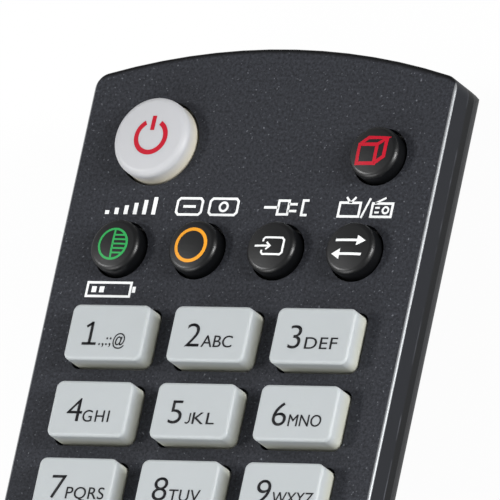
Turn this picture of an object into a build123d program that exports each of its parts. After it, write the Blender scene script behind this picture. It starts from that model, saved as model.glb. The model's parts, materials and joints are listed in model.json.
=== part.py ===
from build123d import *
from math import atan, atan2, cos, degrees, radians, sin, sqrt, tan
import os

# Universal remote control. Millimetres, +Z out of the key face, +Y towards the infrared end,
# origin in the middle of the rest face. Angles are in degrees.

# Case
case_length = 200.0
case_width = 46.5
end_bow = 82.0            # radius of both bowed ends, seen from the front
plan_corner = 1.9
skirt_height = 4.1        # upright side of the upper housing
end_undercut = 36.0       # slope of the ends; that of the sides clears the door grooves
shoulder_radius = 3.3
belly_radius = 4.0
face_edge_radius = 0.35
shell_wall = 1.8
face_wall = 1.8

# Stepped joint between the housings
skirt_wall = 0.9
lip_height = 1.0
lip_gap = 0.12
snap_reach = 0.35         # nibs inside the skirt that click into pockets of the lip
snap_height = 0.4
snap_length = 8.0
snap_gap = 0.1
snap_places_share = (-0.36, -0.12, 0.12, 0.36)

# Running and seating clearances
key_gap = 0.3             # key to the edge of its opening
flange_gap = 0.3          # key flange to the underside of the face
stem_gap = 0.35
seat_gap = 0.1
overrun = 1.0             # how far a cut runs past what it cuts

# What every key has
key_travel = 0.8
travel_spare = 0.3
flange_wall = 0.6
flange_reach = 0.5
stem_dip = 0.2            # stem end below the top of the silicone web

# Number block, placed from the IR end; its three columns fill the face between two margins
five_to_tip = 43.3
side_margin = 5.13
column_gap = 3.24
number_pitch_y = 8.93
number_h = 6.49
number_corner = 0.85
number_rise = 2.3
number_edge = 0.35
number_w = (case_width - 2 * side_margin - 2 * column_gap) / 3
number_pitch_x = number_w + column_gap

# Round keys above the numbers
power_up = 32.0           # from the middle of key 5
power_r = 4.7
power_rise = 2.45
power_edge = 0.8
round_r = 3.05
round_rise = 1.95
round_edge = 0.6
round_crown = 0.25
round_margin = 5.11
round_up = 19.4
projection_inset = 7.75
projection_up = 30.6
round_pitch = (case_width - 2 * round_margin - 2 * round_r) / 3
projection_x = case_width / 2 - projection_inset

# Rockers and the two keys between them
rocker_drop = 24.83       # from the middle of the bottom number row
rocker_length = 20.0
rocker_corner = 1.2
rocker_rise = 2.6
rocker_edge = 0.5
rocker_saddle = 1.0       # depth of the hollow in the middle
rocker_gap = 0.45
rocker_ear = 4.4          # length of the flange at the pivot
middle_pitch = 10.4

# Flat black keys
flat_h = 4.8
flat_corner = 0.9
flat_rise = 1.5
flat_edge = 0.3
colour_gap = 2.06
colour_h = 4.2
colour_w = round_pitch - colour_gap

# Navigation pad
pad_margin = 7.85         # to the side of the case
pad_band = 7.0
ok_gap = 2.7
pad_angle = 33.0          # half the angle of an arrow key
pad_flange_angle = 3.0
pad_corner = 0.8
pad_rise = 1.8
pad_space = 2.8           # to the rows above and below
pad_outer = case_width / 2 - pad_margin
pad_inner = pad_outer - pad_band
ok_r = pad_inner - ok_gap

# Distances down the face, row to row
menu_drop = 15.9
pad_drop = pad_outer + pad_space + flat_h / 2
colour_drop = 8.6
row_drop = 8.2

# Keypad web and circuit board
mat_wall = 1.2
board_wall = 1.0
board_side_gap = 0.35
board_top_inset = 12.0    # from the case end
board_bottom_inset = 24.0
board_corner = 2.0
chip_w = 7.5
chip_l = 10.3
chip_t = 1.6
resonator_w = 3.2
resonator_l = 6.5
resonator_t = 2.2
capacitor_d = 5.0
capacitor_l = 7.0
chip_up = 8.0             # from the middle of the case
part_pitch = 16.0
pin_d = 2.0               # pins of the lower housing that place the board
pin_gap = 0.2
pin_dip = 0.1

# AAA cells and their bay
cell_d = 10.5
cell_length = 44.5
nub_r = 1.9
nub_length = 0.9
cell_edge = 0.5
cell_gap = 0.6
cell_clear = 0.25
cell_roof_gap = 0.45
spring_room = 5.0
contact_t = 0.4
contact_gap = 0.1
contact_w = 7.0
contact_h = 8.6
leaf_w = 5.0
bay_wall = 1.2
bay_foot = 20.0           # from the lower end of the case to the bay

# Sliding battery door
door_past_side = 0.95     # past the bay on each side
door_wall = 1.5
door_gap = 0.15
door_past_bay = 1.6
rail_wall = 1.2
rail_top = 4.8
tongue_reach = 0.9
tongue_t = 0.9
rail_cover = 1.35         # housing wall beside and above the groove
groove_side = 0.8         # housing wall left outside the lower edge of the groove
grip_w = 0.8
grip_depth = 0.35
grip_pitch = 2.0
grip_length = 12.0
grip_count = 5
grip_inset = 6.0

# Case screws under the door
screw_x = 8.0
screw_inset = 14.0        # from the lower end of the case
screw_d = 2.2
screw_head_d = 4.0
screw_head_t = 1.4
screw_fit = 0.05
screw_clear = 0.2
screw_length = 12.0
boss_wall = 1.5
boss_step = 12.0          # height where the two bosses meet

# Ribs across the lower housing
rib_wall = 1.2
rib_depth = 3.0
rib_places_share = (0.08, 0.24, 0.40)

# Infrared window and LED
window_w = 14.0
window_h = 5.0
window_gap = 0.12
window_drop = 1.1         # below the parting line
led_r = 2.5
led_flange_r = 2.9
led_flange_t = 1.0
led_length = 6.4
led_dome = 90.0           # sweep of the domed end
led_board_gap = 0.3
led_drop = 0.6            # below the underside of the board
lead_w = 0.5
lead_pitch = 2.54
lead_length = 5.0

# The cells, the board and the keys lie over each other and set the height of the case
cell_z = door_wall + cell_clear + cell_d / 2
bay_top = cell_z + cell_d / 2 + cell_roof_gap
rib_top = bay_top + bay_wall
board_under = rib_top + seat_gap
board_top = board_under + board_wall
mat_top = board_top + mat_wall
flange_under = mat_top + travel_spare + key_travel
flange_top = flange_under + flange_wall
face_under = flange_top + flange_gap
case_height = face_under + face_wall
parting_z = case_height - skirt_height
stem_end = mat_top - stem_dip

# Places in plan worked out from the sizes above
cell_x = (cell_d + cell_gap) / 2
bay_half = cell_x + cell_d / 2 + cell_clear
bay_low = bay_foot - case_length / 2
bay_high = bay_low + spring_room + cell_length + contact_gap + contact_t
door_half = bay_half + door_past_side
door_high = bay_high + door_past_bay
groove_half = door_half + tongue_reach + door_gap
groove_low = rail_top - tongue_t - door_gap
five_y = case_length / 2 - five_to_tip

# The sides slope in from the shoulder so that they just clear the door grooves
slope_across = case_width / 2 - groove_half - groove_side
slope_down = parting_z - groove_low
slope_long = sqrt(slope_down**2 + slope_across * (slope_across - 2 * shoulder_radius))
side_undercut = degrees(2 * atan(slope_across / (slope_down + slope_long)))

nodes = {}
openings = []             # faces cut through the key face
stems = []                # faces cut through the silicone web


def prism(face, low, high):
    """A face of the XY plane, extruded between two heights."""
    return extrude(Pos(0, 0, low) * face, high - low)


def block(x, y, z):
    """A box given by its low and high limits on each axis."""
    size = [high - low for low, high in (x, y, z)]
    middle = [(high + low) / 2 for low, high in (x, y, z)]
    return Pos(*middle) * Box(*size)


def post(x, y, radius, low, high):
    return Pos(x, y, (low + high) / 2) * Cylinder(radius, high - low)


def rounded(points, radii):
    """Closed outline through the points, each corner rounded by its own radius."""
    edges, ends = [], []
    for place, (corner, radius) in enumerate(zip(points, radii)):
        corner = Vector(*corner)
        back = (Vector(*points[place - 1]) - corner).normalized()
        ahead = (Vector(*points[(place + 1) % len(points)]) - corner).normalized()
        half_angle = radians(back.get_angle(ahead) / 2)
        start, stop = corner + back * (radius / tan(half_angle)), corner + ahead * (radius / tan(half_angle))
        if radius:
            middle = corner + (back + ahead).normalized() * (radius / sin(half_angle) - radius)
            edges.append(ThreePointArc(start, middle, stop))
        ends.append((start, stop))
    for place, (start, stop) in enumerate(ends):
        edges.append(Line(ends[place - 1][1], start))
    return make_face(edges)


def plan(inset):
    """Outline of the case from the front: parallel sides, bowed ends and small round corners."""
    half, end, radius = case_width / 2 - inset, case_length / 2 - inset, end_bow - inset
    bow_y = end - radius
    corner_x = half - plan_corner
    corner_y = bow_y + sqrt((radius - plan_corner)**2 - corner_x**2)
    reach = radius / (radius - plan_corner)
    tip_x, tip_y = corner_x * reach, bow_y + (corner_y - bow_y) * reach
    turn = atan2(corner_y - bow_y, corner_x) / 2
    mid_x, mid_y = corner_x + plan_corner * cos(turn), corner_y + plan_corner * sin(turn)
    edges = []
    for up in (1, -1):
        edges.append(ThreePointArc((tip_x, up * tip_y), (0, up * end), (-tip_x, up * tip_y)))
        for side in (1, -1):
            edges.append(ThreePointArc((side * half, up * corner_y), (side * mid_x, up * mid_y),
                                       (side * tip_x, up * tip_y)))
    for side in (1, -1):
        edges.append(Line((side * half, -corner_y), (side * half, corner_y)))
    return make_face(edges)


def flank(half, undercut, inset, z):
    """How far out the sloping wall of the case, or of the room inside it, is at height z."""
    corner_z = parting_z - shoulder_radius * tan(radians(undercut / 2))
    return half - (corner_z - z) * tan(radians(undercut)) - inset / cos(radians(undercut))


def profile(half, undercut, inset, top):
    """Corners of half a section: the end of the flat belly, the shoulder and the top of the upright skirt."""
    corner_z = parting_z - shoulder_radius * tan(radians(undercut / 2))
    slant = inset / cos(radians(undercut)) - inset
    return [(flank(half, undercut, inset, inset), inset),
            (half - inset, corner_z + slant / tan(radians(undercut))), (half - inset, top)]


def case_form(inset, top):
    """The closed form of the case, or of the room inside it: a section along it and one round each end."""
    belly, shoulder = belly_radius - inset, shoulder_radius - inset
    right = profile(case_width / 2, side_undercut, inset, top)
    left = [(-x, z) for x, z in reversed(right)]
    section = rounded(right + left, [belly, shoulder, 0, 0, shoulder, belly])
    along = extrude(Plane.XZ * section, -case_length / 2 - overrun)
    end = [(0, inset)] + profile(end_bow, end_undercut, inset, top) + [(0, top)]
    around = revolve(Plane.XZ * rounded(end, [0, belly, shoulder, 0, 0]), Axis.Z)
    around = Pos(0, case_length / 2 - end_bow, 0) * around
    half = along & prism(plan(inset), -overrun, top + overrun) & around
    return half + mirror(half, Plane.XZ)


# Keys: each has a cap through the face, a flange under it and a stem into the web
def key(name, cap, collar, hole, stem_w, stem_h, rise, edge, crown=0.0):
    """Make one key from its cap outline, flange outline and the outline of its opening."""
    top = case_height + rise
    body = prism(cap, flange_under, top)
    if crown:
        middle = cap.center()
        reach = cap.bounding_box().size.X / 2
        dome_r = (reach**2 + crown**2) / (2 * crown)
        body &= Pos(middle.X, middle.Y, top - dome_r) * Sphere(dome_r)
    body = fillet(body.faces().sort_by(Axis.Z)[-1].edges(), edge)
    middle = collar.bounding_box().center()
    stem = Pos(middle.X, middle.Y) * Rectangle(stem_w, stem_h)
    nodes[name] = body + prism(collar, flange_under, flange_top) + prism(stem, stem_end, flange_top)
    openings.append(hole)
    stems.append(Pos(middle.X, middle.Y) * Rectangle(stem_w + 2 * stem_gap, stem_h + 2 * stem_gap))


def pad_shape(x, y, w, h, corner):
    return Pos(x, y) * RectangleRounded(w, h, corner)


def square_key(name, x, y, w, h, corner, rise, edge):
    collar = Pos(x, y) * Rectangle(w + 2 * flange_reach, h + 2 * flange_reach)
    hole = pad_shape(x, y, w + 2 * key_gap, h + 2 * key_gap, corner + key_gap)
    key(name, pad_shape(x, y, w, h, corner), collar, hole, w / 2, h / 2, rise, edge)


def round_key(name, x, y, radius, rise, edge, crown):
    place = Pos(x, y)
    key(name, place * Circle(radius), place * Circle(radius + flange_reach), place * Circle(radius + key_gap),
        radius, radius, rise, edge, crown)


def key_row(names, y, pitch, make):
    """Spread a row of keys evenly about the middle of the face."""
    for place, name in enumerate(names):
        make(name, (place - (len(names) - 1) / 2) * pitch, y)


def number_key(name, x, y):
    square_key(name, x, y, number_w, number_h, number_corner, number_rise, number_edge)


def flat_key(name, x, y):
    square_key(name, x, y, number_w, flat_h, flat_corner, flat_rise, flat_edge)


def colour_key(name, x, y):
    square_key(name, x, y, colour_w, colour_h, flat_corner, flat_rise, flat_edge)


def small_round(name, x, y):
    round_key(name, x, y, round_r, round_rise, round_edge, round_crown)


def rocker(name, x, y):
    """Long key that tips about its middle; only the pivot has a flange."""
    top = case_height + rocker_rise
    cap = prism(pad_shape(x, y, number_w, rocker_length, rocker_corner), flange_under, top)
    cap = fillet(cap.faces().sort_by(Axis.Z)[-1].edges(), rocker_edge)
    reach = rocker_length / 2 - rocker_corner
    scoop_r = (reach**2 + rocker_saddle**2) / (2 * rocker_saddle)
    scoop = Pos(x, y, top - rocker_saddle + scoop_r) * Rot(0, 90, 0)
    cap -= scoop * Cylinder(scoop_r, 2 * number_w)
    ears = prism(Pos(x, y) * Rectangle(number_w + 2 * flange_reach, rocker_ear), flange_under, flange_top)
    body = cap + ears
    for side in (-1, 1):
        middle = y + side * (rocker_length / 2 - flat_h / 2 - flange_reach)
        body += prism(Pos(x, middle) * Rectangle(number_w / 2, flat_h / 2), stem_end, flange_top)
        stems.append(Pos(x, middle) * Rectangle(number_w / 2 + 2 * stem_gap, flat_h / 2 + 2 * stem_gap))
    nodes[name] = body
    openings.append(pad_shape(x, y, number_w + 2 * rocker_gap, rocker_length + 2 * rocker_gap,
                              rocker_corner + rocker_gap))


def ring_sector(inner, outer, half_angle, turn, corner):
    """Part of a ring, its middle at the given turn from +X."""
    reach = 2 * outer
    spread = reach * tan(radians(half_angle))
    wedge = make_face(Polyline((0, 0), (reach, spread), (reach, -spread), close=True))
    face = (Circle(outer) - Circle(inner)) & wedge
    return Rot(0, 0, turn) * fillet(face.vertices(), corner)


def arrow_key(name, y, turn):
    place = Pos(0, y)
    cap = place * ring_sector(pad_inner, pad_outer, pad_angle, turn, pad_corner)
    collar = place * ring_sector(pad_inner - flange_reach, pad_outer + flange_reach,
                                 pad_angle + pad_flange_angle, turn, pad_corner)
    gap_angle = pad_flange_angle * key_gap / flange_reach
    hole = place * ring_sector(pad_inner - key_gap, pad_outer + key_gap, pad_angle + gap_angle,
                               turn, pad_corner)
    key(name, cap, collar, hole, flat_h / 2, flat_h / 2, pad_rise, flat_edge)


round_key("key_power", -number_pitch_x, five_y + power_up, power_r, power_rise, power_edge, round_crown)
small_round("key_projection", projection_x, five_y + projection_up)
key_row(("key_eco", "key_picture", "key_input", "key_tv_radio"), five_y + round_up, round_pitch, small_round)

number_rows = (("key_1", "key_2", "key_3"), ("key_4", "key_5", "key_6"), ("key_7", "key_8", "key_9"),
               ("key_list", "key_0", "key_recall"))
for place, names in enumerate(number_rows):
    key_row(names, five_y + (1 - place) * number_pitch_y, number_pitch_x, number_key)

rocker_y = five_y - rocker_drop - number_pitch_y
menu_y = rocker_y - menu_drop
pad_y = menu_y - pad_drop
back_y = pad_y - pad_drop
colour_y = back_y - colour_drop
text_y = colour_y - row_drop
play_y = text_y - row_drop
stop_y = play_y - row_drop

rocker("rocker_volume", -number_pitch_x, rocker_y)
rocker("rocker_channel", number_pitch_x, rocker_y)
number_key("key_favourite", 0, rocker_y + middle_pitch / 2)
number_key("key_mute", 0, rocker_y - middle_pitch / 2)
key_row(("key_settings", "key_home", "key_info"), menu_y, number_pitch_x, flat_key)
round_key("key_ok", 0, pad_y, ok_r, pad_rise, round_edge, round_crown)
for turn, name in enumerate(("key_right", "key_up", "key_left", "key_down")):
    arrow_key(name, pad_y, 90 * turn)
key_row(("key_back", "key_guide", "key_exit"), back_y, number_pitch_x, flat_key)
key_row(("key_red", "key_green", "key_yellow", "key_blue"), colour_y, round_pitch, colour_key)
key_row(("key_text", "key_subtitle", "key_audio"), text_y, number_pitch_x, flat_key)
key_row(("key_rewind", "key_play", "key_forward"), play_y, number_pitch_x, flat_key)
key_row(("key_stop", "key_pause", "key_record"), stop_y, number_pitch_x, flat_key)

# Housings: one shell, cut at the parting line, with a lip inside the skirt
outer_form = case_form(0, case_height)
outer_form = fillet(outer_form.faces().sort_by(Axis.Z)[-1].edges(), face_edge_radius)
inner_form = case_form(shell_wall, face_under)
shell = outer_form - inner_form
parting = Plane.XY.offset(parting_z)
screw_places = [(side * screw_x, screw_inset - case_length / 2) for side in (-1, 1)]
slab_under = rail_top + door_gap
head_top = slab_under + seat_gap + screw_head_t
boss_r = screw_d / 2 + boss_wall

top_housing = split(shell, bisect_by=parting, keep=Keep.TOP)
top_housing -= prism(plan(skirt_wall), parting_z - overrun, parting_z + lip_height + lip_gap)
for x, y in screw_places:
    top_housing += post(x, y, boss_r, boss_step + seat_gap, face_under + face_wall / 2)
    thread_end = head_top - screw_head_t + screw_length
    top_housing -= post(x, y, screw_d / 2 + screw_fit, boss_step - overrun, thread_end)
for hole in openings:
    top_housing -= prism(hole, face_under - overrun, case_height + overrun)
snap_low = parting_z + (lip_height - snap_height) / 2
nib_out = case_width / 2 - skirt_wall / 2
nib_in = case_width / 2 - skirt_wall - snap_reach
snaps = [(side, share * case_length) for side in (-1, 1) for share in snap_places_share]
for side, y in snaps:
    top_housing += block(sorted((side * nib_in, side * nib_out)), (y - snap_length / 2, y + snap_length / 2),
                         (snap_low, snap_low + snap_height))
nodes["top_housing"] = top_housing

bottom_housing = split(shell, bisect_by=parting, keep=Keep.BOTTOM)
lip = prism(plan(skirt_wall + lip_gap), parting_z - lip_height, parting_z + lip_height)
lip -= prism(plan(shell_wall), parting_z - lip_height - overrun, parting_z + lip_height + overrun)
for side, y in snaps:
    reach = snap_length / 2 + snap_gap
    lip -= block(sorted((side * (nib_in - snap_gap), side * nib_out)), (y - reach, y + reach),
                 (snap_low - snap_gap, snap_low + snap_height + snap_gap))
bottom_housing += lip
form_below = split(outer_form, bisect_by=parting, keep=Keep.BOTTOM)
far = case_length / 2
bay_block = block((-bay_half - bay_wall, bay_half + bay_wall), (bay_low - bay_wall, bay_high + bay_wall),
                  (0, rib_top))
rail_block = block((-groove_half - rail_cover, groove_half + rail_cover),
                   (-far, door_high + door_gap + bay_wall), (0, slab_under + rail_cover))
bottom_housing += form_below & (bay_block + rail_block)
for x, y in screw_places:
    bottom_housing += post(x, y, boss_r + seat_gap, slab_under, boss_step)
for share in rib_places_share:
    middle = share * case_length
    rib = block((-far, far), (middle - rib_wall / 2, middle + rib_wall / 2), (0, rib_top))
    rib_low = shell_wall + rib_depth
    rib_half = flank(case_width / 2, side_undercut, shell_wall, rib_low) - rib_depth
    hollow = block((-rib_half, rib_half), (-far, far), (rib_low, rib_top + overrun))
    bottom_housing += (form_below & rib) - hollow
pin_x = number_pitch_x / 2
pins = [(side * pin_x, share * case_length) for side in (-1, 1) for share in rib_places_share[:2]]
for x, y in pins:
    hub_low = shell_wall / 2
    bottom_housing += post(x, y, pin_d / 2 + rib_wall, hub_low, rib_top)
    bottom_housing += post(x, y, pin_d / 2, hub_low, board_top - pin_dip)

bay_room = block((-bay_half, bay_half), (bay_low, bay_high), (-overrun, rib_top - bay_wall))
door_room = block((-door_half - door_gap, door_half + door_gap), (-far - overrun, door_high + door_gap),
                  (-overrun, slab_under))
grooves = block((-groove_half, groove_half), (-far - overrun, door_high + door_gap), (groove_low, slab_under))
bottom_housing -= bay_room + door_room + grooves
for x, y in screw_places:
    bottom_housing -= post(x, y, screw_head_d / 2 + screw_clear, slab_under - overrun, head_top)
    bottom_housing -= post(x, y, screw_d / 2 + screw_clear, slab_under, boss_step + overrun)

# Infrared window: the piece of wall that its opening takes out
window_top = parting_z - window_drop
window_room = block((-window_w / 2, window_w / 2), (0, case_length), (window_top - window_h, window_top))
window_block = block((-window_w / 2 + window_gap, window_w / 2 - window_gap), (0, case_length),
                     (window_top - window_h + window_gap, window_top - window_gap))
end_zone = block((-case_width, case_width), (far - board_top_inset, case_length), (0, case_height))
nodes["ir_window"] = shell & window_block & end_zone
bottom_housing -= window_room & end_zone
nodes["bottom_housing"] = bottom_housing

# Battery door: a tray with the outer form of the case and tongues along its sides
door_form = form_below & block((-door_half, door_half), (-far, door_high), (0, rail_top))
door_hollow = case_form(door_wall, case_height)
door_hollow &= block((rail_wall - door_half, door_half - rail_wall), (-far, door_high + overrun),
                     (0, case_height))
battery_door = door_form - door_hollow
tongue_low = bay_low - bay_wall
for side in (-1, 1):
    edges = sorted((side * (door_half - rail_wall / 2), side * (door_half + tongue_reach)))
    battery_door += block(edges, (tongue_low, door_high), (rail_top - tongue_t, rail_top))
for place in range(grip_count):
    middle = door_high - grip_inset - place * grip_pitch
    battery_door -= block((-grip_length / 2, grip_length / 2), (middle - grip_w / 2, middle + grip_w / 2),
                          (-overrun, grip_depth))
nodes["battery_door"] = battery_door

# Circuit board, the parts under it and the silicone web over it
board_half = flank(case_width / 2, side_undercut, shell_wall, board_under) - board_side_gap
board_high = case_length / 2 - board_top_inset
board_low = board_bottom_inset - case_length / 2
board_face = RectangleRounded(2 * board_half, board_high - board_low, board_corner)
board_face = Pos(0, (board_high + board_low) / 2) * board_face
circuit_board = prism(board_face, board_under, board_top)
for x, y in pins:
    circuit_board -= post(x, y, pin_d / 2 + pin_gap, board_under - overrun, board_top + overrun)
nodes["circuit_board"] = circuit_board
web = board_face
for stem in stems:
    web -= stem
nodes["keypad_mat"] = prism(web, board_top, mat_top)

chip = Pos(0, chip_up, board_under - chip_t / 2) * Box(chip_w, chip_l, chip_t)
resonator = Box(resonator_l, resonator_w, resonator_t)
resonator = Pos(0, chip_up + part_pitch, board_under - resonator_t / 2) * resonator
capacitor = Pos(0, chip_up + 2 * part_pitch, board_under - capacitor_d / 2) * Rot(0, 90, 0)
capacitor *= Cylinder(capacitor_d / 2, capacitor_l)
nodes["board_parts"] = Compound(children=[chip, resonator, capacitor])

# Infrared LED, its leads soldered under the board
led_z = board_under - led_drop
led_start = board_high + led_board_gap
bulb = Line((0, 0), (led_flange_r, 0)) + Line((led_flange_r, 0), (led_flange_r, led_flange_t))
bulb += Line((led_flange_r, led_flange_t), (led_r, led_flange_t))
bulb += Line((led_r, led_flange_t), (led_r, led_length - led_r))
bulb += CenterArc((0, led_length - led_r), led_r, 0, led_dome)
bulb += Line((0, led_length), (0, 0))
ir_led = revolve(make_face(bulb), Axis.Y)
ir_led = Pos(0, led_start, led_z) * ir_led
for side in (-1, 1):
    x = side * lead_pitch / 2
    ir_led += block((x - lead_w / 2, x + lead_w / 2), (led_start - lead_length, led_start + led_flange_t),
                    (board_under - lead_w, board_under))
nodes["ir_led"] = ir_led


# Cells lie head to tail, each pressed on a plate by a bent leaf
def cell():
    can = Cylinder(cell_d / 2, cell_length - nub_length)
    can = fillet(can.edges(), cell_edge)
    nub = Pos(0, 0, (cell_length - nub_length) / 2 + nub_length / 2) * Cylinder(nub_r, nub_length + cell_edge)
    nub = nub & Box(cell_d, cell_d, cell_length + nub_length)
    return can + nub


bay_middle = (bay_low + bay_high) / 2
plates, leaves = [], []
for number, side in ((1, -1), (2, 1)):
    # the head of this cell points to +Y on the left and to -Y on the right
    head = bay_middle - side * (bay_high - bay_low) / 2
    x = side * cell_x
    turn = Rot(side * 90, 0, 0)
    middle = head + side * (contact_t + contact_gap + (cell_length - nub_length) / 2 + nub_length)
    nodes["battery_%d" % number] = Pos(x, middle, cell_z) * turn * cell()
    tail = bay_middle + side * (bay_high - bay_low) / 2
    plate_y = head + side * contact_t / 2
    base_y = tail - side * contact_t / 2
    plates.append(Pos(x, plate_y, cell_z) * Box(contact_w, contact_t, contact_h))
    base = Pos(x, base_y, cell_z) * Box(contact_w, contact_t, contact_h)
    bend_r = spring_room - 2 * contact_t
    ring = Circle(bend_r) - Circle(bend_r - contact_t)
    bend = extrude(Plane.YZ * ring, leaf_w / 2, both=True)
    keep = block((-cell_d, cell_d), sorted((0, -side * cell_d)), (-cell_d, cell_d))
    bend = Pos(x, tail - side * contact_t, cell_z) * (bend & keep)
    leaves.append(base + bend)
nodes["contact_plates"] = Compound(children=plates)
nodes["contact_springs"] = Compound(children=leaves)

# Case screws, head down in the slab over the door
screws = []
for x, y in screw_places:
    under = slab_under + seat_gap
    screw = post(x, y, screw_head_d / 2, under, head_top - seat_gap)
    screw += post(x, y, screw_d / 2, under, under + screw_length)
    screws.append(screw)
nodes["case_screws"] = Compound(children=screws)

os.makedirs("parts", exist_ok=True)
for name, shape in nodes.items():
    shape.label = name
    export_step(shape, "parts/%s.step" % name)
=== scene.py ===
# %% [markdown]
# A slim bar remote control lies on a white table, its key face up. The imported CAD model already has
# every rigid piece in its true place. This script gives each of them the finish of its plastic, rubber
# or metal, prints the signs on the keys, and sets up the camera, the table and the lamps.

# %% Load the frame
import json
import math

import bmesh
import bpy
from mathutils import Matrix, Vector

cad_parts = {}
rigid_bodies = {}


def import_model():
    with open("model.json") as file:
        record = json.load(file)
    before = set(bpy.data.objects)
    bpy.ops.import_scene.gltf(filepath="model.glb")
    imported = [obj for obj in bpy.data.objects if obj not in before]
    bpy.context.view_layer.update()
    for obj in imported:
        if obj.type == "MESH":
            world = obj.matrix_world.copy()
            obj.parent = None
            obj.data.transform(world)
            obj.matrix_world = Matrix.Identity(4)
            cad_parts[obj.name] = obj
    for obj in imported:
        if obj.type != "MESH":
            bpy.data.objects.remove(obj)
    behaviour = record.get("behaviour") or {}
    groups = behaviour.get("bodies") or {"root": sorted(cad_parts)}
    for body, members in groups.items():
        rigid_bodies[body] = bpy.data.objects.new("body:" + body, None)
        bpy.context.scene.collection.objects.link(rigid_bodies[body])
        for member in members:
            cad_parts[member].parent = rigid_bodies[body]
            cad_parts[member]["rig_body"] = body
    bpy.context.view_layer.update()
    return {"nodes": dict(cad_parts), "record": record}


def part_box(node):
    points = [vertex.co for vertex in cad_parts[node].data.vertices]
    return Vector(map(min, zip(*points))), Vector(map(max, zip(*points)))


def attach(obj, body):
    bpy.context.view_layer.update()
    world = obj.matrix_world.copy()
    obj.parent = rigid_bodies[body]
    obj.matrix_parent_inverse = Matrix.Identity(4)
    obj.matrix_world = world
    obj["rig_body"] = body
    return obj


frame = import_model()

nodes = frame["nodes"]
bpy.ops.object.select_all(action="DESELECT")
print("pieces from the CAD model:", len(nodes))

# %% [markdown]
# Sizes are easier to read in millimetres, so one factor turns them into Blender's metres. The highest
# corner of the upper housing gives the height of the key face, its half width and its infrared end. The
# middle of key 5 is the point that the printing and the camera are placed from.

# %% Sizes
MM = 0.001
HALF_WIDTH, TIP_Y, FACE_Z = (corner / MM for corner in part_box("top_housing")[1])
FIVE_Y = sum(corner[1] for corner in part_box("key_5")) / 2 / MM
print("face", round(2 * HALF_WIDTH, 2), "mm wide,", round(FACE_Z, 2), "mm high, key 5 at", round(FIVE_Y, 2))

# %% [markdown]
# The remote is seen from the lower right with a long lens, so parallel edges stay nearly parallel. A
# camera fitted to the outline of the case and to the keys gives this place and turn. The three rows are
# the camera's right, up and backward directions in the remote's own frame.

# %% Camera
CAMERA_AXES = ((0.84992, 0.20070, -0.48708), (-0.01173, 0.93162, 0.36330), (0.52674, -0.30317, 0.79413))
CAMERA_PLACE = (751.417, -411.98 + FIVE_Y, 1130.75 + FACE_Z)
CAMERA_LENS = 940.9
SENSOR_WIDTH = 36.0
NEAR_LIMIT, FAR_LIMIT = 0.05, 100.0        # metres

lens = bpy.data.cameras.new("camera")
lens.lens, lens.sensor_width = CAMERA_LENS, SENSOR_WIDTH
lens.clip_start, lens.clip_end = NEAR_LIMIT, FAR_LIMIT
camera = bpy.data.objects.new("camera", lens)
turn = Matrix(CAMERA_AXES).transposed().to_4x4()
camera.matrix_world = Matrix.Translation(Vector(CAMERA_PLACE) * MM) @ turn
bpy.context.scene.collection.objects.link(camera)
bpy.context.scene.camera = camera
bpy.context.scene.view_settings.view_transform = "Standard"
print("camera is", round((Vector(CAMERA_PLACE) * MM).length, 3), "m away")


# %% [markdown]
# Blender's colours are linear, while a colour picked from a picture is in the sRGB scale from 0
# to 255. This helper does the change once, so every finish below can be read as a screen colour.

# %% Colour helper
def srgb(red, green, blue):
    """A screen colour, 0 to 255, as linear values with alpha."""
    parts = [c / 255 for c in (red, green, blue)]
    return tuple(c / 12.92 if c <= 0.04045 else ((c + 0.055) / 1.055) ** 2.4 for c in parts) + (1.0,)


print("a mid grey of 128 is", round(srgb(128, 128, 128)[0], 3), "linear")


# %% [markdown]
# Materials are small graphs of nodes. Writing them node by node is long, so a wrapped socket lets plain
# Python arithmetic add Math nodes, and one method makes any other node from its type, its settings and
# the values or links of its inputs. An input is given by its name, or by its number after an i where two
# inputs share a name.

# %% Shader helper
class Field:
    """One output socket of a material's graph: a value that may vary over the surface."""

    def __init__(self, tree, socket=None):
        self.tree, self.socket = tree, socket

    def node(self, kind, settings=None, output=0, **inputs):
        made = self.tree.nodes.new(kind)
        for name, value in (settings or {}).items():
            setattr(made, name, value)
        for name, value in inputs.items():
            spot = made.inputs[int(name[1:])] if name[1:].isdigit() else made.inputs[name.replace("_", " ")]
            if isinstance(value, Field):
                self.tree.links.new(value.socket, spot)
            else:
                spot.default_value = value
        return Field(self.tree, made.outputs[output])

    def math(self, operation, first, second):
        return self.node("ShaderNodeMath", {"operation": operation}, i0=first, i1=second)

    def __add__(self, other):
        return self.math("ADD", self, other)

    def __radd__(self, other):
        return self.math("ADD", other, self)

    def __sub__(self, other):
        return self.math("SUBTRACT", self, other)

    def __rsub__(self, other):
        return self.math("SUBTRACT", other, self)

    def __mul__(self, other):
        return self.math("MULTIPLY", self, other)

    def __rmul__(self, other):
        return self.math("MULTIPLY", other, self)

    def __abs__(self):
        return self.math("ABSOLUTE", self, 0.0)

    def above(self, low, high):
        """0 below the low value, 1 over the high one, and a ramp between."""
        return self.node("ShaderNodeMapRange", Value=self, From_Min=low, From_Max=high)


def grain(place, scale, detail=2.0, rough=0.5):
    """Noise between 0 and 1. At a scale of 1000 its lumps are about a millimetre wide."""
    return place.node("ShaderNodeTexNoise", Vector=place, Scale=scale, Detail=detail, Roughness=rough)


def blend(mask, first, second):
    """The first colour where the mask is 0, the second where it is 1."""
    return mask.node("ShaderNodeMix", {"data_type": "RGBA"}, output=2, i0=mask, i6=first, i7=second)


def new_finish(name, **constants):
    """A material with a Principled shader. Constants go straight on its sockets."""
    material = bpy.data.materials.new(name)
    material.use_nodes = True
    tree = material.node_tree
    shader = tree.nodes["Principled BSDF"]
    for key, value in constants.items():
        shader.inputs[key.replace("_", " ")].default_value = value
    place = Field(tree).node("ShaderNodeTexCoord", output="Object")
    return material, shader, place


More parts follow.
